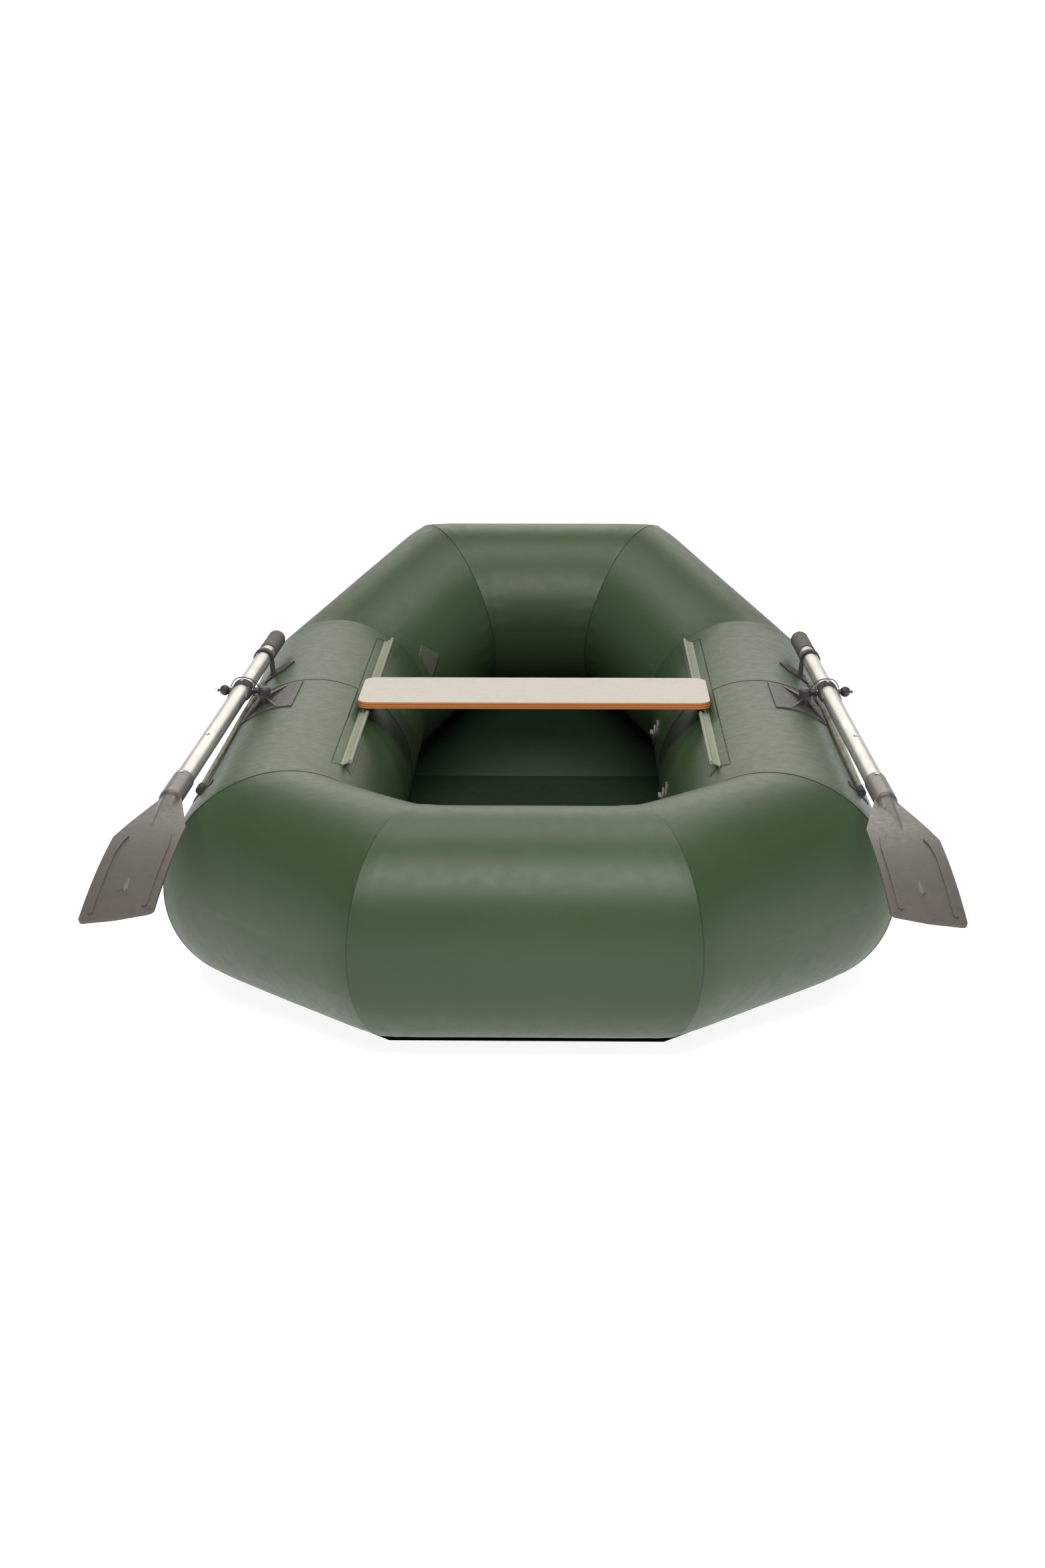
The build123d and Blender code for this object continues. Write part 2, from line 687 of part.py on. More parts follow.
outline = make_face(Polyline(
    (blade_half_neck, neck_t + 4),
    (blade_half_shoulder, shoulder_t),
    (blade_half_tip, tip_t + blade_tip_bow),
    (0, tip_t),
    (-blade_half_tip, tip_t + blade_tip_bow),
    (-blade_half_shoulder, shoulder_t),
    (-blade_half_neck, neck_t + 4),
    close=True,
))
tip_corners = outline.vertices().filter_by(lambda v: v.Y < tip_t + 20 and abs(v.X) > 5)
outline = fillet(tip_corners, blade_corner_r)
shoulders = outline.vertices().filter_by(lambda v: abs(v.Y - shoulder_t) < 2)
outline = fillet(shoulders, blade_shoulder_r)
blade = blade_slab(blade_t, tip_t - 8) & tall_prism(outline)

rib_route = [(30.5, shoulder_t - 12), (35.0, shoulder_t - 32), (38.5, shoulder_t - 72), (37.0, tip_t + 22)]
rib_body = blade_slab(blade_t + 2 * blade_rib_proud, tip_t - 8)
for side in (1, -1):
    for (x0, t0), (x1, t1) in zip(rib_route, rib_route[1:]):
        run_face = strip((side * x0, t0), (side * x1, t1), blade_rib_w)
        run_face += Pos(side * x0, t0) * Circle(blade_rib_w / 2)
        run_face += Pos(side * x1, t1) * Circle(blade_rib_w / 2)
        blade += rib_body & tall_prism(run_face)

spine_run = neck_t - spine_end_t
spine_drop = blade_drop(spine_end_t)
spine_len = hypot(spine_run, spine_drop)
spine_tilt = degrees(atan2(spine_drop, spine_run))
spine = Cone(spine_r_neck, spine_r_end, spine_len, align=(Align.CENTER, Align.CENTER, Align.MIN))
spine = Pos(0, neck_t, 0) * Rot(90 + spine_tilt, 0, 0) * spine
spine_cap = Pos(0, spine_end_t, -spine_drop) * Sphere(spine_r_end)
socket = Pos(-arm_reach, 0, 0) * rod_y(socket_r, neck_t, socket_t)
socket = fillet(socket.edges().group_by(Axis.Y)[-1], 1.5)
nose = Pos(0, neck_t, 0) * Sphere(socket_r)
blade = blade + spine + spine_cap + socket + nose
blade -= Pos(-arm_reach, 0, 0) * rod_y(shaft_r, neck_t, socket_t + 1)
blade = Pos(arm_reach, 0, 0) * Rot(0, blade_tilt_deg, 0) * blade
blade -= Pos(arm_reach, rivet_t, 0) * disc(2.0, 0, 2 * socket_r)
save_pair(pivot * blade, "oar_blade")


# ---- oar holders: glued pad with a rubber hook round the shaft -------------
holder_mid = pivot * Pos(arm_reach, holder_y - oarlock_y, 0)
shaft_at = holder_mid.position
hook_in_r = shaft_r + holder_clear
hook_out_r = hook_in_r + holder_wall
pad_outline = [
    (oarlock_x - 20, holder_y + 34),
    (oarlock_x - 6, holder_y - 12),
    (oarlock_x + 30, holder_y - 24),
    (oarlock_x + 30, holder_y + 44),
    (oarlock_x - 6, holder_y + 42),
]
pad = plate_on_tube(pad_outline, plate_t)
hook_face = ring_sector((shaft_at.X, shaft_at.Z), hook_in_r, hook_out_r, -22.0, 214.0)
stem_a = radians(205)
stem_reach = hook_in_r + holder_wall / 2
stem_top = (shaft_at.X + stem_reach * cos(stem_a), shaft_at.Z + stem_reach * sin(stem_a))
stem_foot_x = shaft_at.X - 17.0
stem_foot = (stem_foot_x, tube_top_at(stem_foot_x, tube_r + 1.0))
hook_face += strip(stem_top, stem_foot, 7.0)
hook = along_y(hook_face, holder_y - holder_w / 2, holder_y + holder_w / 2)
hook -= side_rod(tube_r + 0.5, holder_y - 60, holder_y + 60)
hook -= along_y(Pos(shaft_at.X, shaft_at.Z) * Circle(hook_in_r), holder_y - 60, holder_y + 60)
save_pair(pad + hook, "oar_holder")

# ---- side ropes: lie along the outer shoulder of each side tube ------------
rope_reach = tube_r + rope_gap + rope_r
rope_stations = [
    (50.5, holder_y - 26.0),
    (48.6, 20.0),
    (46.8, -110.0),
    (46.4, -250.0),
    (45.6, -390.0),
    (43.6, -530.0),
]
rope_route = [tuple(on_tube(angle, y, rope_reach)) for angle, y in rope_stations]
save_pair(cord_tube(rope_route, rope_r, "side_rope"), "side_rope")

rope_end_deg, rope_end_y = rope_stations[-1]
tab_y = rope_end_y - 14.0
tab_out = [
    (on_tube(rope_end_deg, 0, tube_r).X - 16, tab_y - 13),
    (on_tube(rope_end_deg, 0, tube_r).X + 14, tab_y - 13),
    (on_tube(rope_end_deg, 0, tube_r).X + 14, tab_y + 14),
    (on_tube(rope_end_deg, 0, tube_r).X - 16, tab_y + 14),
]
tab = plate_on_tube(tab_out, 1.5)
end_point = on_tube(rope_end_deg, tab_y, rope_reach)
loop = Plane(origin=(end_point.X, tab_y - 12, end_point.Z), z_dir=(0, 1, 0)) * Circle(rope_r + 2.2)
loop = extrude(loop, amount=26.0)
rope_recess = Plane(origin=(end_point.X, rope_end_y - 9.0, end_point.Z), z_dir=(0, 1, 0)) * Circle(rope_r)
tab = tab + loop - side_rod(tube_r, tab_y - 40, tab_y + 40)
tab -= extrude(rope_recess, amount=30.0)
save(Compound([tab, mirror(tab, about=Plane.YZ)]), "rope_tabs")
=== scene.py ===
from math import atan2, cos, pi, radians, sin

import bpy
from mathutils import Matrix, Vector, noise


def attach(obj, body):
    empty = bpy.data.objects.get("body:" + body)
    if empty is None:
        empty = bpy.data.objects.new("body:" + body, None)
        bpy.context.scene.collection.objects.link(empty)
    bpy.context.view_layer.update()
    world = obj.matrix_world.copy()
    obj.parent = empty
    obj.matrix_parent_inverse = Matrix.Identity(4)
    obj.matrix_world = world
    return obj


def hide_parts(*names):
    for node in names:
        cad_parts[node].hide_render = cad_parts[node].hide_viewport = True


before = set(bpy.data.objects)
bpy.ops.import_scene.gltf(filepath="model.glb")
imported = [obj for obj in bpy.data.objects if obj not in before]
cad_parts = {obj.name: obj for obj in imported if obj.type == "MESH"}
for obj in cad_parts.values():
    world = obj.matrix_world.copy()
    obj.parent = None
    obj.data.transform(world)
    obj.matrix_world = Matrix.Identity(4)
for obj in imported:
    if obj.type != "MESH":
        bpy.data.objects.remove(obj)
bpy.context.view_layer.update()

# ---- Camera ---------------------------------------------------------------
# It stands aft of the stern, a touch to starboard of the keel line, at about
# head height, and looks forward and down along the whole boat.
camera_data = bpy.data.cameras.new("camera")
camera_data.sensor_fit = "VERTICAL"
camera_data.sensor_height = 36.0
camera_data.lens = 53.57
camera_data.clip_end = 200.0
camera = bpy.data.objects.new("camera", camera_data)
bpy.context.scene.collection.objects.link(camera)
look = Vector((-0.01994, 0.96126, -0.27493)).normalized()
level = Vector((0.99980, 0.02012, -0.00217))
level = (level - look * level.dot(look)).normalized()
upward = level.cross(look)
camera.matrix_world = Matrix((
    (level.x, upward.x, -look.x, 0.0622),
    (level.y, upward.y, -look.y, -4.1152),
    (level.z, upward.z, -look.z, 1.3266),
    (0.0, 0.0, 0.0, 1.0),
))
bpy.context.scene.camera = camera


# ---- Side ropes -----------------------------------------------------------
# Three-strand laid rope, 8.4 mm, in undyed cream polyester. Each one lies on
# the outer shoulder of its side tube, from the oar holder's pad to a loop aft.
side_x = 0.3985
tube_r = 0.1725
tube_z = 0.1734
rope_r = 0.0042
rope_reach = tube_r + 0.0003 + rope_r
rope_stations = [
    (50.5, 0.124), (48.6, 0.020), (46.8, -0.110), (46.4, -0.250), (45.6, -0.390), (43.6, -0.530)]
rope_step = 0.0016
rope_lead = 0.026
strand_share = 0.464  # three round strands that just touch inside the rope's round
strand_squeeze = 1.06  # and press into each other a little


def by_side_tube(angle_deg, y, reach):
    """A point beside the starboard tube, at an angle up from straight outboard."""
    a = radians(angle_deg)
    return Vector((side_x + reach * cos(a), y, tube_z + reach * sin(a)))


def to_side(point, side):
    """The same point on the starboard (1) or port (-1) side of the boat."""
    return Vector((side * point[0], point[1], point[2]))


def rope_curve(name, points):
    """A smooth line drawn through the pull of a few points."""
    curve = bpy.data.curves.new(name, "CURVE")
    curve.dimensions = "3D"
    spline = curve.splines.new("NURBS")
    spline.points.add(len(points) - 1)
    for knot, point in zip(spline.points, points):
        knot.co = (*point, 1.0)
    spline.order_u = 3
    spline.use_endpoint_u = True
    curve.resolution_u = 64
    return curve


def rope_line(name, points):
    """Where a smooth line runs, as a list of points close together."""
    drawn = bpy.data.objects.new(name, rope_curve(name, points))
    flat = bpy.data.meshes.new_from_object(drawn)
    line = [v.co.copy() for v in flat.vertices]
    bpy.data.meshes.remove(flat)
    bpy.data.objects.remove(drawn)
    return line


def evenly(line, step):
    """The same line with its points a fixed step apart."""
    spaced = [line[0]]
    left = step
    for a, b in zip(line, line[1:]):
        run = (b - a).length
        along = left
        while along <= run:
            spaced.append(a.lerp(b, along / run))
            along += step
        left = along - run
    return spaced


def put_piece(name, verts, faces, smooth=True, uvs=None):
    """A mesh object in the boat's own coordinates."""
    mesh = bpy.data.meshes.new(name)
    mesh.from_pydata([tuple(v) for v in verts], [], faces)
    if uvs:
        layer = mesh.uv_layers.new(name="cloth")
        for corner in mesh.loops:
            layer.data[corner.index].uv = uvs[corner.vertex_index]
    mesh.polygons.foreach_set("use_smooth", [smooth] * len(mesh.polygons))
    mesh.update()
    piece = bpy.data.objects.new(name, mesh)
    bpy.context.scene.collection.objects.link(piece)
    return piece


def laid_rope(name, line, radius, lead, turn):
    """Three round strands laid round each other along a line."""
    strand_r = strand_share * radius * strand_squeeze
    centre_r = radius - strand_r
    around = 10
    up = Vector((0, 0, 1))
    verts, faces = [], []
    for strand in range(3):
        start = len(verts)
        for i, point in enumerate(line):
            ahead = (line[min(i + 1, len(line) - 1)] - line[max(i - 1, 0)]).normalized()
            out = ahead.cross(up).normalized()
            over = out.cross(ahead)
            a = turn * 2 * pi * i * rope_step / lead + 2 * pi * strand / 3
            middle = point + (out * cos(a) + over * sin(a)) * centre_r
            for k in range(around):
                b = 2 * pi * k / around
                verts.append(middle + (out * cos(b) + over * sin(b)) * strand_r)
        rows = len(line)
        for i in range(rows - 1):
            for k in range(around):
                n = (k + 1) % around
                a0 = start + i * around
                faces.append((a0 + k, a0 + n, a0 + around + n, a0 + around + k))
        faces.append(tuple(start + k for k in reversed(range(around))))
        faces.append(tuple(start + (rows - 1) * around + k for k in range(around)))
    return put_piece(name, verts, faces)


def finish(name, colour, roughness, metallic=0.0, coat=0.0, specular=0.5):
    """A material with its shader's plain numbers set."""
    made = bpy.data.materials.new(name)
    made.use_nodes = True
    shader = made.node_tree.nodes["Principled BSDF"]
    shader.inputs["Base Color"].default_value = (*colour, 1.0)
    shader.inputs["Roughness"].default_value = roughness
    shader.inputs["Metallic"].default_value = metallic
    shader.inputs["Coat Weight"].default_value = coat
    shader.inputs["Specular IOR Level"].default_value = specular
    return made


def add(made, kind, feeds=(), **settings):
    """A shader node, with its settings made and its inputs fed."""
    node = made.node_tree.nodes.new(kind)
    for key, value in settings.items():
        setattr(node, key, value)
    for key, value in dict(feeds).items():
        if isinstance(value, bpy.types.NodeSocket):
            made.node_tree.links.new(value, node.inputs[key])
        else:
            node.inputs[key].default_value = value
    return node


def feed(made, socket, source):
    made.node_tree.links.new(source, made.node_tree.nodes["Principled BSDF"].inputs[socket])


def place(made, stretch=(1, 1, 1), kind="Object"):
    """Coordinates on the piece itself, stretched per axis."""
    spot = add(made, "ShaderNodeTexCoord")
    mapping = add(made, "ShaderNodeMapping", {"Vector": spot.outputs[kind], "Scale": stretch})
    return mapping.outputs[0]


def speckle(made, where, scale, detail=3.0, rough=0.5):
    return add(made, "ShaderNodeTexNoise", {
        "Vector": where, "Scale": scale, "Detail": detail, "Roughness": rough}).outputs["Fac"]


def shades(made, factor, *stops):
    """A colour for each level of a factor."""
    ramp = add(made, "ShaderNodeValToRGB", {"Fac": factor})
    steps = ramp.color_ramp.elements
    while len(steps) < len(stops):
        steps.new(0.5)
    for step, (level_at, colour) in zip(steps, stops):
        step.position = level_at
        step.color = (*colour, 1.0)
    return ramp.outputs["Color"]


def levels(made, factor, low, high, to_low, to_high):
    return add(made, "ShaderNodeMapRange", {
        0: factor, 1: low, 2: high, 3: to_low, 4: to_high}).outputs[0]


def sums(made, how, a, b=0.0):
    return add(made, "ShaderNodeMath", {0: a, 1: b}, operation=how).outputs[0]


def blended(made, factor, a, b):
    mix = add(made, "ShaderNodeMix", {0: factor, 6: a, 7: b}, data_type="RGBA")
    return mix.outputs[2]


def roughen(made, height, strength, depth):
    bump = add(made, "ShaderNodeBump", {"Strength": strength, "Distance": depth, "Height": height})
    feed(made, "Normal", bump.outputs[0])


def wear(piece, made):
    """Puts one finish on a piece or on a CAD part."""
    if piece.material_slots:
        for patch in piece.material_slots:
            patch.material = made
    else:
        piece.data.materials.append(made)


rope_yarn = finish("rope_yarn", (0.58, 0.55, 0.47), 0.86)
yarn_at = place(rope_yarn)
rope_fuzz = speckle(rope_yarn, yarn_at, 900.0, 4.0)
rope_grime = speckle(rope_yarn, yarn_at, 60.0)
rope_tone = shades(
    rope_yarn, rope_grime,
    (0.3, (0.30, 0.26, 0.19)), (0.55, (0.44, 0.42, 0.35)), (1.0, (0.52, 0.50, 0.43)))
feed(rope_yarn, "Base Color", rope_tone)
roughen(rope_yarn, rope_fuzz, 0.6, 0.0006)

for side, word in ((1, "right"), (-1, "left")):
    route = [to_side(by_side_tube(angle, y, rope_reach), side) for angle, y in rope_stations]
    line = evenly(rope_line("rope_line", route), rope_step)
    rope = laid_rope(f"side_rope_{word}_laid", line, rope_r, rope_lead, side)
    wear(rope, rope_yarn)
    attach(rope, "hull")
    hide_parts(f"side_rope_{word}")

# ---- Knob leashes ---------------------------------------------------------
# A soft black rubber string, 2 mm thick and 66 mm long. One end is moulded to
# the turning head, the other to the stop knob's neck, so the knob isn't lost.
pin_yaw = radians(1.2)
oarlock_at = Vector((0.478, -0.105, 0.3505))
leash_route = [
    (9.5, 0.0, 6.0), (19.0, 1.0, 20.0), (38.0, 2.5, 23.5), (54.0, 1.0, 21.0), (59.6, 0.0, 6.2)]


def by_oarlock(x, y, z, side):
    """A point given in millimetres from the turning head's middle."""
    turned = Vector((x * cos(pin_yaw) - y * sin(pin_yaw), x * sin(pin_yaw) + y * cos(pin_yaw), z))
    return to_side(oarlock_at + turned * 0.001, side)


leash_rubber = finish("leash_rubber", (0.022, 0.022, 0.024), 0.55)
roughen(leash_rubber, speckle(leash_rubber, place(leash_rubber), 700.0), 0.3, 0.0003)
for side, word in ((1, "right"), (-1, "left")):
    route = [by_oarlock(x, y, z, side) for x, y, z in leash_route]
    string = rope_curve(f"knob_leash_{word}_string", route)
    string.bevel_depth = 0.001
    string.bevel_resolution = 4
    string.use_fill_caps = True
    leash = bpy.data.objects.new(f"knob_leash_{word}_string", string)
    bpy.context.scene.collection.objects.link(leash)
    wear(leash, leash_rubber)
    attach(leash, f"oarlock_head_{word}")
    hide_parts(f"knob_leash_{word}")

# ---- Hull skins -----------------------------------------------------------
# Ten lengths of satin green PVC-coated cloth, 0.9 mm thick, welded into tubes
# and joined edge over edge at the mitres. Air pressure rounds every corner.
skin_t = 0.0009
lap_wide = 0.021
lap_rise = 0.0007
lap_fade = 0.010
corner_reach = 0.060
corner_pull = 0.0060
inner_pull = 0.0045
sharpest_bend = 0.75
pucker_count = 46
pucker_deep = 0.0011
pucker_clear = 0.012
wave_deep = 0.0007
skin_lift = 0.0001
around_steps = 144
row_step = 0.03
near_seam = (
    0.0, 0.0006, 0.002, 0.007, 0.014, lap_wide, lap_wide + 0.003, 0.031, 0.040, 0.050, corner_reach)
thread_pitch = 0.0011
stern_end = Vector((0.187, -0.8275, tube_z))
stern_corner = Vector((side_x, -0.6226, tube_z))
middle_seam = Vector((side_x, 0.0, tube_z))
bow_corner = Vector((side_x, 0.5416, tube_z))
bow_end = Vector((0.1895, 0.8275, tube_z + 0.1432))
ring = [stern_end, stern_corner, middle_seam, bow_corner, bow_end]
ring += [to_side(p, -1) for p in reversed(ring)]
skin_names = [
    "stern_quarter_right", "side_tube_right_aft", "side_tube_right_fore",
    "bow_quarter_right", "bow_tube", "bow_quarter_left",
    "side_tube_left_fore", "side_tube_left_aft", "stern_quarter_left", "stern_tube",
]
laps_over = {  # which ends of a length lie over their neighbour
    "stern_quarter_right": (False, False), "side_tube_right_aft": (True, False),
    "side_tube_right_fore": (True, True), "bow_quarter_right": (False, False),
    "bow_tube": (True, True), "bow_quarter_left": (False, False),
    "side_tube_left_fore": (True, True), "side_tube_left_aft": (False, True),
    "stern_quarter_left": (False, False), "stern_tube": (True, True),
}


def skin_mesh(name, start, end, before, after, over):
    """One inflated length between two mitres, with its laps and puckers."""
    along = (end - start).normalized()
    length = (end - start).length
    up = (Vector((0, 0, 1)) - along * along.z).normalized()
    out = along.cross(up)
    mitres = ((before + along).normalized(), (along + after).normalized())
    bends = ((before - along), (along - after))
    middle_rows = max(6, int(length / row_step))
    lines = []
    for k in range(around_steps):
        a = 2 * pi * k / around_steps
        ray = out * cos(a) + up * sin(a)
        offset = ray * (tube_r + skin_lift)
        first = -offset.dot(mitres[0]) / along.dot(mitres[0])
        last = length - offset.dot(mitres[1]) / along.dot(mitres[1])
        spots = [(first + d, d, 0) for d in near_seam]
        span = last - first - 2 * corner_reach
        for i in range(1, middle_rows):
            d = corner_reach + span * i / middle_rows
            spots.append((first + d, min(d, last - first - d), 0 if i < middle_rows / 2 else 1))
        spots += [(last - d, d, 1) for d in reversed(near_seam)]
        line = []
        for t, d, which in spots:
            point = start + along * t + offset
            bend = bends[which]
            fade = max(0.0, 1.0 - d / corner_reach)
            if bend.length > 0.01:
                turned = ray.dot(bend.normalized())
                in_mitre = (ray - mitres[which] * ray.dot(mitres[which])).normalized()
                pull_way = ray.lerp(in_mitre, fade).normalized()
                pull = corner_pull if turned > 0 else inner_pull
                pull = pull * turned * bend.length / sharpest_bend
                point -= pull_way * pull * fade * fade
                if turned < 0:
                    pucker = sin(a * pucker_count + 3 * sin(a * 5)) * max(0.0, -turned - 0.25)
                    point += ray * pucker * pucker_deep * fade * min(1.0, d / pucker_clear)
            if over[which]:
                step = 1.0 if d <= lap_wide else max(0.0, 1.0 - (d - lap_wide) / lap_fade)
                point += ray * lap_rise * step
            ease = noise.noise(point * 6.0) * wave_deep * min(1.0, d / corner_reach)
            line.append((point + ray * ease, t, d))
        lines.append(line)
    rows = len(lines[0])
    verts, faces, uvs, edge = [], [], [], []
    for k in range(around_steps):
        for point, t, d in lines[k]:
            verts.append(point)
            uvs.append((2 * pi * tube_r * k / around_steps, t))
            edge.append(d)
    for k in range(around_steps):
        n = (k + 1) % around_steps
        for i in range(rows - 1):
            faces.append((k * rows + i, k * rows + i + 1, n * rows + i + 1, n * rows + i))
    skin = put_piece(name, verts, faces, uvs=uvs)
    from_seam = skin.data.attributes.new("from_seam", "FLOAT", "POINT")
    from_seam.data.foreach_set("value", edge)
    wall = skin.modifiers.new("wall", "SOLIDIFY")
    wall.thickness = skin_t
    wall.offset = -1.0
    return skin


def coated_cloth(name, light, dark, rough, seam_glue_and_shade):
    """PVC-coated polyester: satin, with its weave just showing through."""
    made = finish(name, light, rough, specular=0.32)
    where = place(made)
    cloud = speckle(made, where, 3.2, 3.0, 0.55)
    tone = shades(made, cloud, (0.30, dark), (0.70, light))
    if seam_glue_and_shade:
        # At each seam a thin dark line: partly the weld's glue line, partly a painted contact shadow
        # under the lap's step.
        seam = add(made, "ShaderNodeAttribute", attribute_name="from_seam").outputs["Fac"]
        line = levels(made, seam, 0.0004, 0.0018, 1.0, 0.0)
        tone = blended(made, sums(made, "MULTIPLY", line, 0.62), tone, (0.008, 0.014, 0.008, 1.0))
        # A faint darker band at the lap's far edge: painted shade along the slight rise where the
        # under panel's edge lifts the skin.
        under = levels(made, seam, lap_wide - 0.001, lap_wide + 0.003, 1.0, 0.0)
        tone = blended(made, sums(made, "MULTIPLY", under, 0.08), tone, (0.018, 0.030, 0.015, 1.0))
    feed(made, "Base Color", tone)
    scuffs = speckle(made, where, 55.0, 6.0, 0.65)
    feed(made, "Roughness", levels(made, scuffs, 0.3, 0.75, rough - 0.05, rough + 0.08))
    weave = place(made, (2 * pi / thread_pitch, 2 * pi / thread_pitch, 1), "UV")
    parts = add(made, "ShaderNodeSeparateXYZ", {0: weave}).outputs
    warp = sums(made, "SINE", parts[0])
    weft = sums(made, "SINE", parts[1])
    threads = sums(made, "MULTIPLY", sums(made, "MULTIPLY", warp, weft), 0.12)
    ripple = sums(made, "MULTIPLY", speckle(made, where, 24.0, 2.0), 0.9)
    roughen(made, sums(made, "ADD", threads, ripple), 0.22, 0.0012)
    return made


tube_cloth = coated_cloth("tube_cloth", (0.031, 0.058, 0.025), (0.027, 0.051, 0.021), 0.37, True)
for i, name in enumerate(skin_names):
    a, b = ring[i], ring[(i + 1) % len(ring)]
    before = (a - ring[i - 1]).normalized()
    after = (ring[(i + 2) % len(ring)] - b).normalized()
    skin = skin_mesh(f"{name}_skin", a, b, before, after, laps_over[name])
    wear(skin, tube_cloth)
    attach(skin, "hull")
    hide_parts(name)

# ---- Maker's patch ---------------------------------------------------------
# A thin grey-green square of the same cloth, left blank, glued on the inner face
# of the port bow quarter beside its seam.
patch_cloth = coated_cloth("patch_cloth", (0.060, 0.068, 0.052), (0.052, 0.060, 0.045), 0.55, False)
quarter_way = (to_side(bow_end, -1) - to_side(bow_corner, -1)).normalized()
patch_out = Vector((0.685, -0.658, 0.313)).normalized()
patch_over = quarter_way.cross(patch_out).normalized()
patch_half = 0.025
patch_along = 0.100
patch_lift = 0.0014
patch_turn = radians(32)
patch_rows = 14
patch_verts, patch_faces, patch_uvs = [], [], []
for i in range(patch_rows + 1):
    for k in range(patch_rows + 1):
        u, v = patch_half * (2 * i / patch_rows - 1), patch_half * (2 * k / patch_rows - 1)
        round_by = (u * cos(patch_turn) - v * sin(patch_turn)) / tube_r
        along_by = patch_along + u * sin(patch_turn) + v * cos(patch_turn)
        ray = patch_out * cos(round_by) + patch_over * sin(round_by)
        on_axis = to_side(bow_corner, -1) + quarter_way * along_by
        patch_verts.append(on_axis + ray * (tube_r + patch_lift))
        patch_uvs.append((u, v))
for i in range(patch_rows):
    for k in range(patch_rows):
        a = i * (patch_rows + 1) + k
        patch_faces.append((a, a + patch_rows + 1, a + patch_rows + 2, a + 1))
patch = put_piece("blank_patch", patch_verts, patch_faces, uvs=patch_uvs)
patch_ply = patch.modifiers.new("ply", "SOLIDIFY")
patch_ply.thickness = 0.0004
wear(patch, patch_cloth)
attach(patch, "hull")

# ---- Bulkheads ------------------------------------------------------------
# A round wall of the same cloth inside each side tube, welded in at the middle
# seam. It parts the ring into a fore and an aft air chamber.
wear(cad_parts["bulkheads"], tube_cloth)

# ---- Bottom ---------------------------------------------------------------
# One layer of the same cloth, stretched flat and welded under the tubes, with a second
# piece that rises under the bow. Its green is far darker than the tubes': painted shade of the
# cockpit floor.
# The bottom's colour is painted shade: a very dark green that stands in for the shade down in the
# cockpit between the tubes.
bottom_painted_shade_cloth = coated_cloth("bottom_painted_shade_cloth", (0.007, 0.022, 0.008), (0.006, 0.018, 0.007), 0.50, False)
bow_slope = atan2(0.1432, 0.8275 - 0.5416)
ripple_half = 0.36
ripple_rise = 0.0016
swell_rise = 0.0025


def cut_width(cuts, s):
    """Half the sheet's width at a distance along it."""
    for (s0, w0), (s1, w1) in zip(cuts, cuts[1:]):
        if s <= s1:
            return w0 + (w1 - w0) * (s - s0) / (s1 - s0)
    return cuts[-1][1]


def bottom_mesh(name, cuts, origin, forward, normal, step):
    """A stretched sheet with faint tension ripples that die out at its edges."""
    across = 56
    length = cuts[-1][0] - cuts[0][0]
    rows = int(length / step)
    marks = {cuts[0][0] + length * i / rows for i in range(rows + 1)}
    marks = sorted(marks | {c[0] for c in cuts})
    verts, faces, uvs = [], [], []
    for s in marks:
        half = cut_width(cuts, s)
        for k in range(across + 1):
            x = half * (2 * k / across - 1)
            inside = max(0.0, 1.0 - abs(x) / ripple_half)
            inside *= max(0.0, min(1.0, (s - cuts[0][0] - 0.09) / 0.2))
            inside *= max(0.0, min(1.0, (cuts[-1][0] - s - 0.03) / 0.25))
            lift = (0.5 + 0.5 * sin(x * 16 + 2.2 * sin(s * 4.0))) * ripple_rise * inside
            lift += abs(noise.noise(Vector((x * 3.0, s * 2.0, 0.4)))) * swell_rise * inside
            verts.append(origin + Vector((x, 0, 0)) + forward * s + normal * lift)
            uvs.append((x, s))
    wide = across + 1
    for i in range(len(marks) - 1):
        for k in range(across):
            a = i * wide + k
            faces.append((a, a + 1, a + wide + 1, a + wide))
    sheet = put_piece(name, verts, faces, uvs=uvs)
    ply = sheet.modifiers.new("ply", "SOLIDIFY")
    ply.thickness = skin_t
    ply.offset = 1.0
    sheet.modifiers.new("even_shading", "WEIGHTED_NORMAL")
    return sheet


flat_cuts = [(-0.8725, 0.20522), (-0.64166, 0.4435), (0.5826, 0.4435)]
rise_cuts = [(-0.0410, 0.4435), (0.0134, 0.4435), (0.36475, 0.21383)]
rise_from = Vector((0, 0.5416 + tube_z * sin(bow_slope), tube_z - tube_z * cos(bow_slope)))
sheet_step = 0.03
flat_sheet = bottom_mesh(
    "bottom_sheet_cloth", flat_cuts, Vector((0, 0, 0)),
    Vector((0, 1, 0)), Vector((0, 0, 1)), sheet_step)
rise_sheet = bottom_mesh(
    "bow_bottom_sheet_cloth", rise_cuts, rise_from,
    Vector((0, cos(bow_slope), sin(bow_slope))), Vector((0, -sin(bow_slope), cos(bow_slope))),
    sheet_step)
for sheet, node, flat, area in (
        (flat_sheet, "bottom_sheet", (0.887, 1.4551), 1.2357),
        (rise_sheet, "bow_bottom_sheet", (0.887, 0.4058), 0.2792)):
    wear(sheet, bottom_painted_shade_cloth)
    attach(sheet, "hull")
    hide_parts(node)

# ---- Seat rails -----------------------------------------------------------
# A strip of grey-green PVC cloth doubled over a cord and glued to the tube's inner
# shoulder by a green tape with shallow arrow ends. The seat runs on its hem.
rail_aft, rail_fore = -0.488, 0.430
hem_x, hem_z = 0.291, tube_z + 0.1526
hem_r = 0.0034
hem_bore = 0.00252
hem_steps = 16
root_deg = 122.5
fin_half = 0.0008
foot_flare = 0.0024
flare_high, foot_high = 0.0025, 0.008


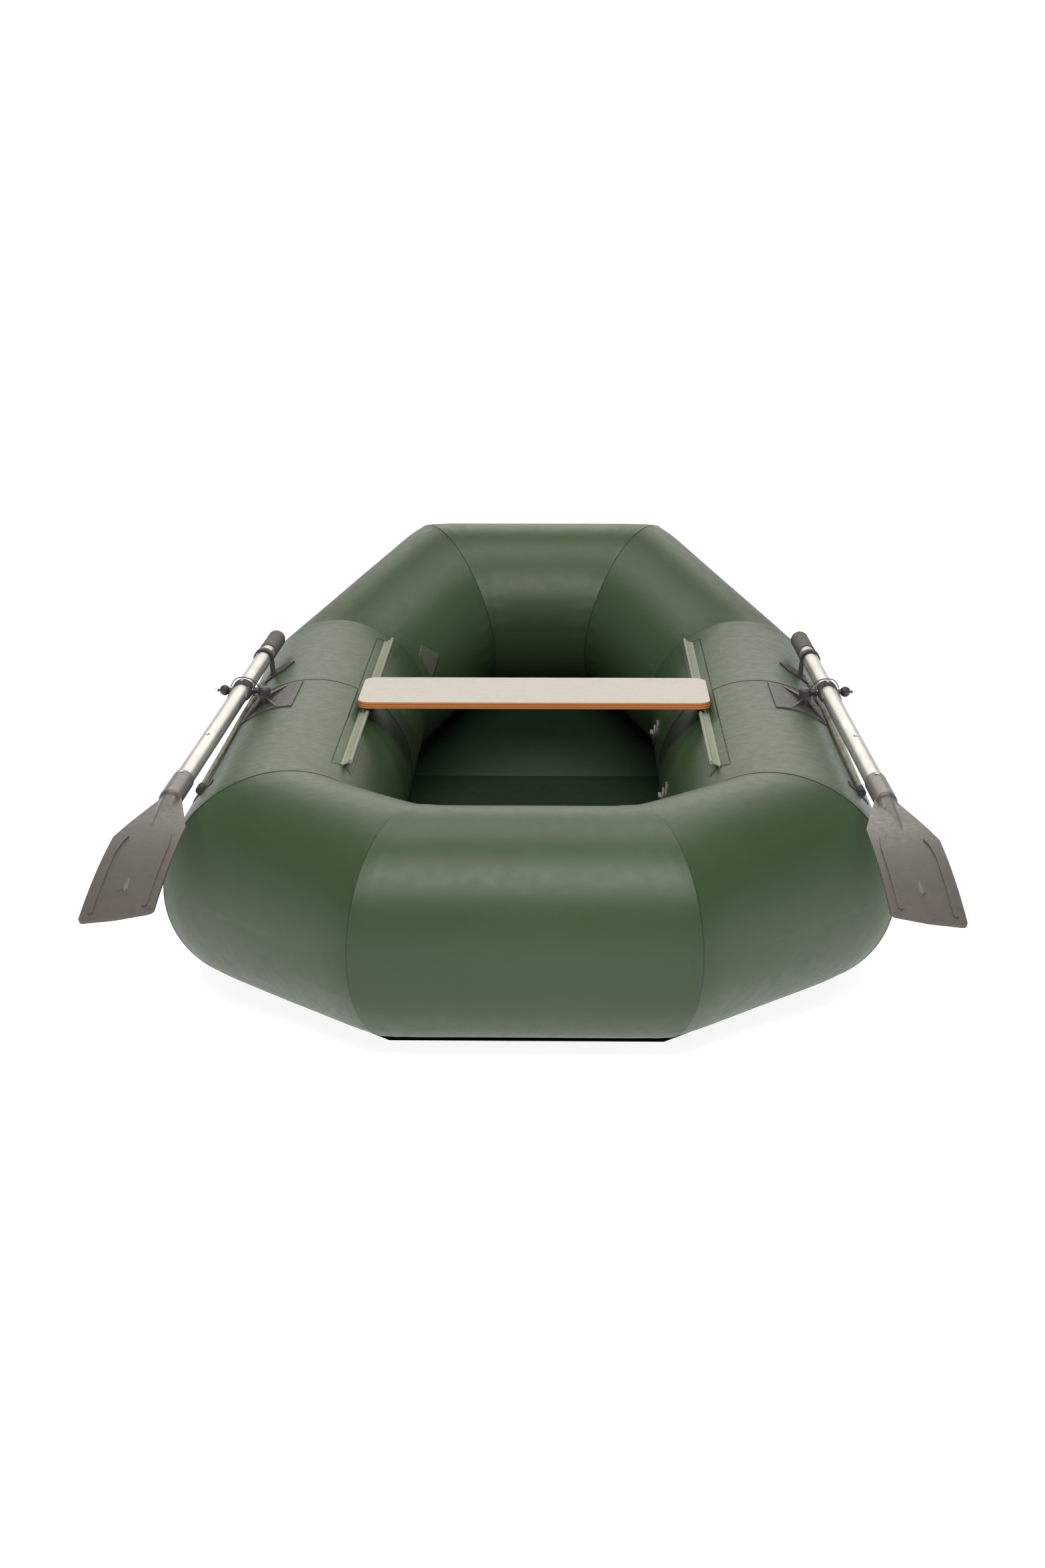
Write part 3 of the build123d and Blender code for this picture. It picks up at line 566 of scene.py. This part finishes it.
def fin_outline():
    """The rail's cross-section: up the fin, round the hem and back down."""
    a = radians(root_deg)
    reach = tube_r + 0.0005
    root = Vector((side_x + reach * cos(a), 0, tube_z + reach * sin(a)))
    hem = Vector((hem_x, 0, hem_z))
    way = (root - hem).normalized()
    across = Vector((-way.z, 0, way.x))
    outer, inner = [], []
    outer.append(root + across * (fin_half + foot_flare))
    outer.append(root - way * flare_high + across * fin_half)
    outer.append(root - way * foot_high + across * fin_half)
    for i in range(hem_steps + 1):
        b = pi / 14 + (2 * pi - pi / 7) * i / hem_steps
        outer.append(hem + (way * cos(b) + across * sin(b)) * hem_r)
    outer.append(root - way * foot_high - across * fin_half)
    outer.append(root - way * flare_high - across * fin_half)
    outer.append(root - across * (fin_half + foot_flare))
    for i in range(hem_steps + 1):
        b = pi / 14 + (2 * pi - pi / 7) * i / hem_steps
        inner.append(hem + (way * cos(b) + across * sin(b)) * hem_bore)
    return outer, inner


def rail_mesh(name, side):
    outer, inner = fin_outline()
    steps = 60
    verts, faces, uvs = [], [], []
    for shape in (outer, inner):
        base = len(verts)
        closed = len(shape)
        for i in range(steps + 1):
            y = rail_aft + (rail_fore - rail_aft) * i / steps
            for k, point in enumerate(shape):
                verts.append(Vector((side * point.x, y, point.z)))
                uvs.append((k * 0.002, y))
        for i in range(steps):
            for k in range(closed):
                n = (k + 1) % closed
                a = base + i * closed
                face = (a + k, a + n, a + closed + n, a + closed + k)
                faces.append(face if (side > 0) == (shape is outer) else face[::-1])
    wide, thin = len(outer), len(inner)
    for row, flip in ((0, False), (steps, True)):
        o = row * wide
        q = (steps + 1) * wide + row * thin
        for i in range(hem_steps):
            face = (o + 3 + i, o + 4 + i, q + i + 1, q + i)
            faces.append(face if flip == (side > 0) else face[::-1])
        last = o + 3 + hem_steps
        foot = (o, o + 1, o + 2, o + 3, q, q + hem_steps, last, last + 1, last + 2, last + 3)
        faces.append(foot if flip == (side > 0) else foot[::-1])
    return put_piece(name, verts, faces, smooth=False, uvs=uvs)


def tape_mesh(name, side):
    """The tape under a rail: it hugs the tube and ends in shallow arrows."""
    thick = 0.0009
    low, high = 116.3, 129.6
    tip = 0.021
    across, steps = 12, 60
    verts, faces, uvs = [], [], []
    for lift in (0.0002, thick):
        for i in range(steps + 1):
            for k in range(across + 1):
                v = k / across
                angle = low + (high - low) * v
                to_root = abs(angle - root_deg) / (root_deg - low)
                y0 = rail_aft - tip * min(1.0, to_root) * 0.9 + 0.004
                y1 = rail_fore + tip * (1 - min(1.0, to_root)) * 0.5
                y = y0 + (y1 - y0) * i / steps
                edge = 0.0005 if lift > 0.0005 and (k in (0, across) or i in (0, steps)) else 0.0
                verts.append(to_side(by_side_tube(angle, y, tube_r + lift + 0.0002 - edge), side))
                uvs.append((angle * pi / 180 * tube_r, y))
    wide = across + 1
    layer = wide * (steps + 1)
    for i in range(steps):
        for k in range(across):
            a = layer + i * wide + k
            top = (a, a + wide, a + wide + 1, a + 1)
            faces.append(top if side > 0 else top[::-1])
            under = tuple(j - layer for j in top)
            faces.append(under[::-1] if side > 0 else under)
    rim = [i * wide for i in range(steps + 1)]
    rim += [steps * wide + k for k in range(1, across + 1)]
    rim += [i * wide + across for i in range(steps - 1, -1, -1)]
    rim += [k for k in range(across - 1, 0, -1)]
    for a, b in zip(rim, rim[1:] + rim[:1]):
        wall = (a, b, b + layer, a + layer)
        faces.append(wall[::-1] if side > 0 else wall)
    return put_piece(name, verts, faces, uvs=uvs)


rail_cloth = coated_cloth("rail_cloth", (0.210, 0.235, 0.170), (0.170, 0.192, 0.138), 0.50, False)
tape_cloth = coated_cloth("tape_cloth", (0.034, 0.062, 0.028), (0.030, 0.055, 0.024), 0.40, False)
for side, word in ((1, "right"), (-1, "left")):
    rail = rail_mesh(f"seat_rail_{word}_fin", side)
    tape = tape_mesh(f"seat_rail_{word}_tape", side)
    wear(rail, rail_cloth)
    wear(tape, tape_cloth)
    for piece in (rail, tape):
        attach(piece, "hull")
        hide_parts(f"seat_rail_{word}")

# The cord in each hem: 5 mm braided polyester, seen only at its cut ends.
braid = finish("braid", (0.30, 0.29, 0.26), 0.9)
roughen(braid, speckle(braid, place(braid), 1200.0), 0.6, 0.0004)
wear(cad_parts["rail_cords"], braid)

# ---- Seat board -----------------------------------------------------------
# 12 mm plywood, its top faced with pale grey-beige laminate and its sawn edges
# stained orange, so the plies show as thin darker lines.
board = finish("seat_board", (0.62, 0.57, 0.50), 0.5, specular=0.4)
board_at = place(board)
board_low = 0.3328
ply_t = 0.0042
height = add(board, "ShaderNodeSeparateXYZ", {0: board_at}).outputs[2]
facing = add(board, "ShaderNodeNewGeometry").outputs["Normal"]
face_up = add(board, "ShaderNodeSeparateXYZ", {0: facing}).outputs[2]
ply_count = sums(board, "DIVIDE", sums(board, "SUBTRACT", height, board_low), ply_t)
ply_phase = sums(board, "FRACT", ply_count)
grain = speckle(board, place(board, (6, 90, 500)), 3.0, 5.0, 0.6)
ply_mark = sums(board, "ADD", ply_phase, sums(board, "MULTIPLY", grain, 0.18))
ply_tone = shades(board, ply_mark, (0.30, (0.46, 0.160, 0.046)), (0.48, (0.66, 0.250, 0.074)),
                  (0.66, (0.62, 0.230, 0.068)), (0.80, (0.30, 0.100, 0.032)))
print_grain = speckle(board, place(board, (3.0, 42.0, 3.0)), 9.0, 5.0, 0.6)
lam_tone = shades(board, print_grain, (0.35, (0.39, 0.36, 0.345)), (0.65, (0.43, 0.40, 0.385)))
is_top = levels(board, face_up, 0.78, 0.90, 0.0, 1.0)
feed(board, "Base Color", blended(board, is_top, ply_tone, lam_tone))
board_scuff = speckle(board, board_at, 70.0, 6.0, 0.65)
feed(board, "Roughness", levels(board, board_scuff, 0.3, 0.7, 0.42, 0.58))
roughen(board, sums(board, "ADD", print_grain, sums(board, "MULTIPLY", grain, 0.6)), 0.12, 0.0004)
wear(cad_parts["seat_plank"], board)


# ---- Seat channels --------------------------------------------------------
# Black extruded plastic, slotted to slip over the rail's hem, with a flange on
# top. Four pan-head screws a side go up through the flange into the board.
def moulded(name, colour, rough, grit=1300.0, depth=0.00025, wash=0.5):
    """Moulded plastic or rubber: a fine grit, and edges and hollows a little uneven."""
    made = finish(name, colour, rough, specular=0.45)
    where = place(made)
    cloud = speckle(made, where, 26.0, 4.0)
    low = tuple(c * (1 - 0.35 * wash) for c in colour)
    high = tuple(c * (1 + 0.45 * wash) for c in colour)
    feed(made, "Base Color", shades(made, cloud, (0.3, low), (0.7, high)))
    pores = speckle(made, where, grit, 2.0)
    rubbed = speckle(made, where, 110.0, 5.0)
    feed(made, "Roughness", levels(made, rubbed, 0.3, 0.7, rough - 0.06, rough + 0.08))
    roughen(made, pores, 0.35, depth)
    return made


black_plastic = moulded("black_plastic", (0.040, 0.038, 0.035), 0.46, wash=0.2)
wear(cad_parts["seat_channels"], black_plastic)
screw_steel = finish("screw_steel", (0.55, 0.55, 0.56), 0.32, metallic=1.0)
roughen(screw_steel, speckle(screw_steel, place(screw_steel), 2000.0), 0.2, 0.0001)
wear(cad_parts["seat_screws"], screw_steel)

# ---- Oarlocks -------------------------------------------------------------
# A black moulded plate glued along the top of each side tube carries a ribbed
# socket. The head turns in it and holds a steel cross pin that the oar dips on.
pin_steel = finish("pin_steel", (0.72, 0.72, 0.73), 0.22, metallic=1.0)
pin_streak = speckle(pin_steel, place(pin_steel, (40, 900, 900)), 1.0, 3.0)
feed(pin_steel, "Roughness", levels(pin_steel, pin_streak, 0.3, 0.7, 0.16, 0.34))
knob_plastic = moulded("knob_plastic", (0.022, 0.021, 0.021), 0.34, wash=0.2)
for word in ("right", "left"):
    wear(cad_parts[f"oarlock_base_{word}"], black_plastic)
    wear(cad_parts[f"oarlock_head_{word}"], black_plastic)
    wear(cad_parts[f"cross_pin_{word}"], pin_steel)
    wear(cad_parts[f"stop_knob_{word}"], knob_plastic)
    wear(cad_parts[f"pull_ring_{word}"], pin_steel)

# ---- Oars -----------------------------------------------------------------
# Two lengths of bright 30 mm aluminium tube that join on a ferrule with a snap
# button, a dark rubber grip, a clamp collar and a bent moulded blade.
oar_tube = finish("oar_tube", (0.90, 0.90, 0.89), 0.27, metallic=1.0)
draw_lines = speckle(oar_tube, place(oar_tube, (900, 8, 900)), 1.0, 4.0)
tube_cloud = speckle(oar_tube, place(oar_tube), 14.0, 4.0)
tube_tone = shades(oar_tube, tube_cloud, (0.3, (0.46, 0.45, 0.43)), (0.7, (0.57, 0.56, 0.53)))
feed(oar_tube, "Base Color", tube_tone)
feed(oar_tube, "Roughness", levels(oar_tube, draw_lines, 0.25, 0.75, 0.24, 0.40))
roughen(oar_tube, draw_lines, 0.10, 0.0002)
blade_plastic = moulded("blade_plastic", (0.070, 0.061, 0.054), 0.33, 900.0, 0.0001, 0.10)
grip_rubber = moulded("grip_rubber", (0.060, 0.053, 0.049), 0.62, 800.0, 0.0004, 0.2)
for word in ("right", "left"):
    for node in ("shaft_upper", "shaft_lower", "shaft_ferrule"):
        wear(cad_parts[f"{node}_{word}"], oar_tube)
    wear(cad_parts[f"snap_button_{word}"], pin_steel)
    wear(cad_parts[f"oar_fasteners_{word}"], screw_steel)
    wear(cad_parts[f"oar_collar_{word}"], black_plastic)
    wear(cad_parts[f"oar_grip_{word}"], grip_rubber)
    wear(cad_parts[f"oar_blade_{word}"], blade_plastic)

# ---- Oar holders and rope loops -------------------------------------------
# Black rubber. The holder is a leaf-shaped pad glued to the tube, with a strap
# that hooks over the oar below its grip. The loop aft takes the side rope's end.
holder_rubber = moulded("holder_rubber", (0.030, 0.028, 0.027), 0.58, 700.0, 0.0004, 0.2)
for word in ("right", "left"):
    wear(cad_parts[f"oar_holder_{word}"], holder_rubber)
wear(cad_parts["rope_tabs"], holder_rubber)

# ---- Air valves -----------------------------------------------------------
# One in each chamber, on the cockpit side of the starboard tube: a black body
# welded to the skin, a sprung poppet that holds the air, and a screw cap.
valve_plastic = moulded("valve_plastic", (0.040, 0.042, 0.042), 0.42)
cap_plastic = moulded("cap_plastic", (0.10, 0.105, 0.10), 0.40)
for word in ("fore", "aft"):
    wear(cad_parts[f"valve_body_{word}"], valve_plastic)
    wear(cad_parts[f"valve_poppet_{word}"], valve_plastic)
    wear(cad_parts[f"valve_cap_{word}"], cap_plastic)
    wear(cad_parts[f"valve_spring_{word}"], pin_steel)

# ---- Floor and light ------------------------------------------------------
# A plain white studio floor that glows a little and a white surround low down.
# Two broad soft lights, high over the stern and the bow, and a low one ahead.
floor_half, floor_z = 60.0, -0.0005
floor = put_piece(
    "studio_floor",
    [(-floor_half, -floor_half, floor_z), (floor_half, -floor_half, floor_z),
     (floor_half, floor_half, floor_z), (-floor_half, floor_half, floor_z)],
    [(0, 1, 2, 3)], smooth=False)
studio_paper = finish("studio_paper", (0.60, 0.60, 0.60), 0.9, specular=0.0)
paper_shader = studio_paper.node_tree.nodes["Principled BSDF"]
paper_shader.inputs["Emission Color"].default_value = (1.0, 1.0, 1.0, 1.0)
paper_shader.inputs["Emission Strength"].default_value = 0.86
wear(floor, studio_paper)

studio = bpy.data.worlds.new("studio")
studio.use_nodes = True
nodes, links = studio.node_tree.nodes, studio.node_tree.links
sky_way = nodes.new("ShaderNodeTexCoord")
sky_parts = nodes.new("ShaderNodeSeparateXYZ")
sky_level = nodes.new("ShaderNodeMapRange")
for socket, value in ((1, 0.06), (2, 0.42), (3, 1.05), (4, 0.22)):
    sky_level.inputs[socket].default_value = value
links.new(sky_way.outputs["Generated"], sky_parts.inputs[0])
links.new(sky_parts.outputs[2], sky_level.inputs[0])
links.new(sky_level.outputs[0], nodes["Background"].inputs["Strength"])
nodes["Background"].inputs["Color"].default_value = (1.0, 1.0, 1.0, 1.0)
bpy.context.scene.world = studio


def softbox(name, at, toward, wide, tall, watts):
    lamp = bpy.data.lights.new(name, "AREA")
    lamp.shape = "RECTANGLE"
    lamp.size, lamp.size_y = wide, tall
    lamp.energy = watts
    lamp.color = (1.0, 0.97, 0.87)
    holder = bpy.data.objects.new(name, lamp)
    holder.location = at
    holder.rotation_euler = (Vector(toward) - Vector(at)).to_track_quat("-Z", "Y").to_euler()
    bpy.context.scene.collection.objects.link(holder)


softbox("overhead", (0.0, -2.3, 3.0), (0.0, -0.3, 0.2), 2.8, 1.1, 116.0)
softbox("top_fill", (0.0, 0.8, 3.0), (0.0, 0.4, 0.2), 2.6, 1.4, 48.0)
softbox("bow_side", (0.0, 3.6, 1.9), (0.0, 0.4, 0.2), 3.4, 1.0, 26.0)
bpy.context.scene.view_settings.view_transform = "Standard"
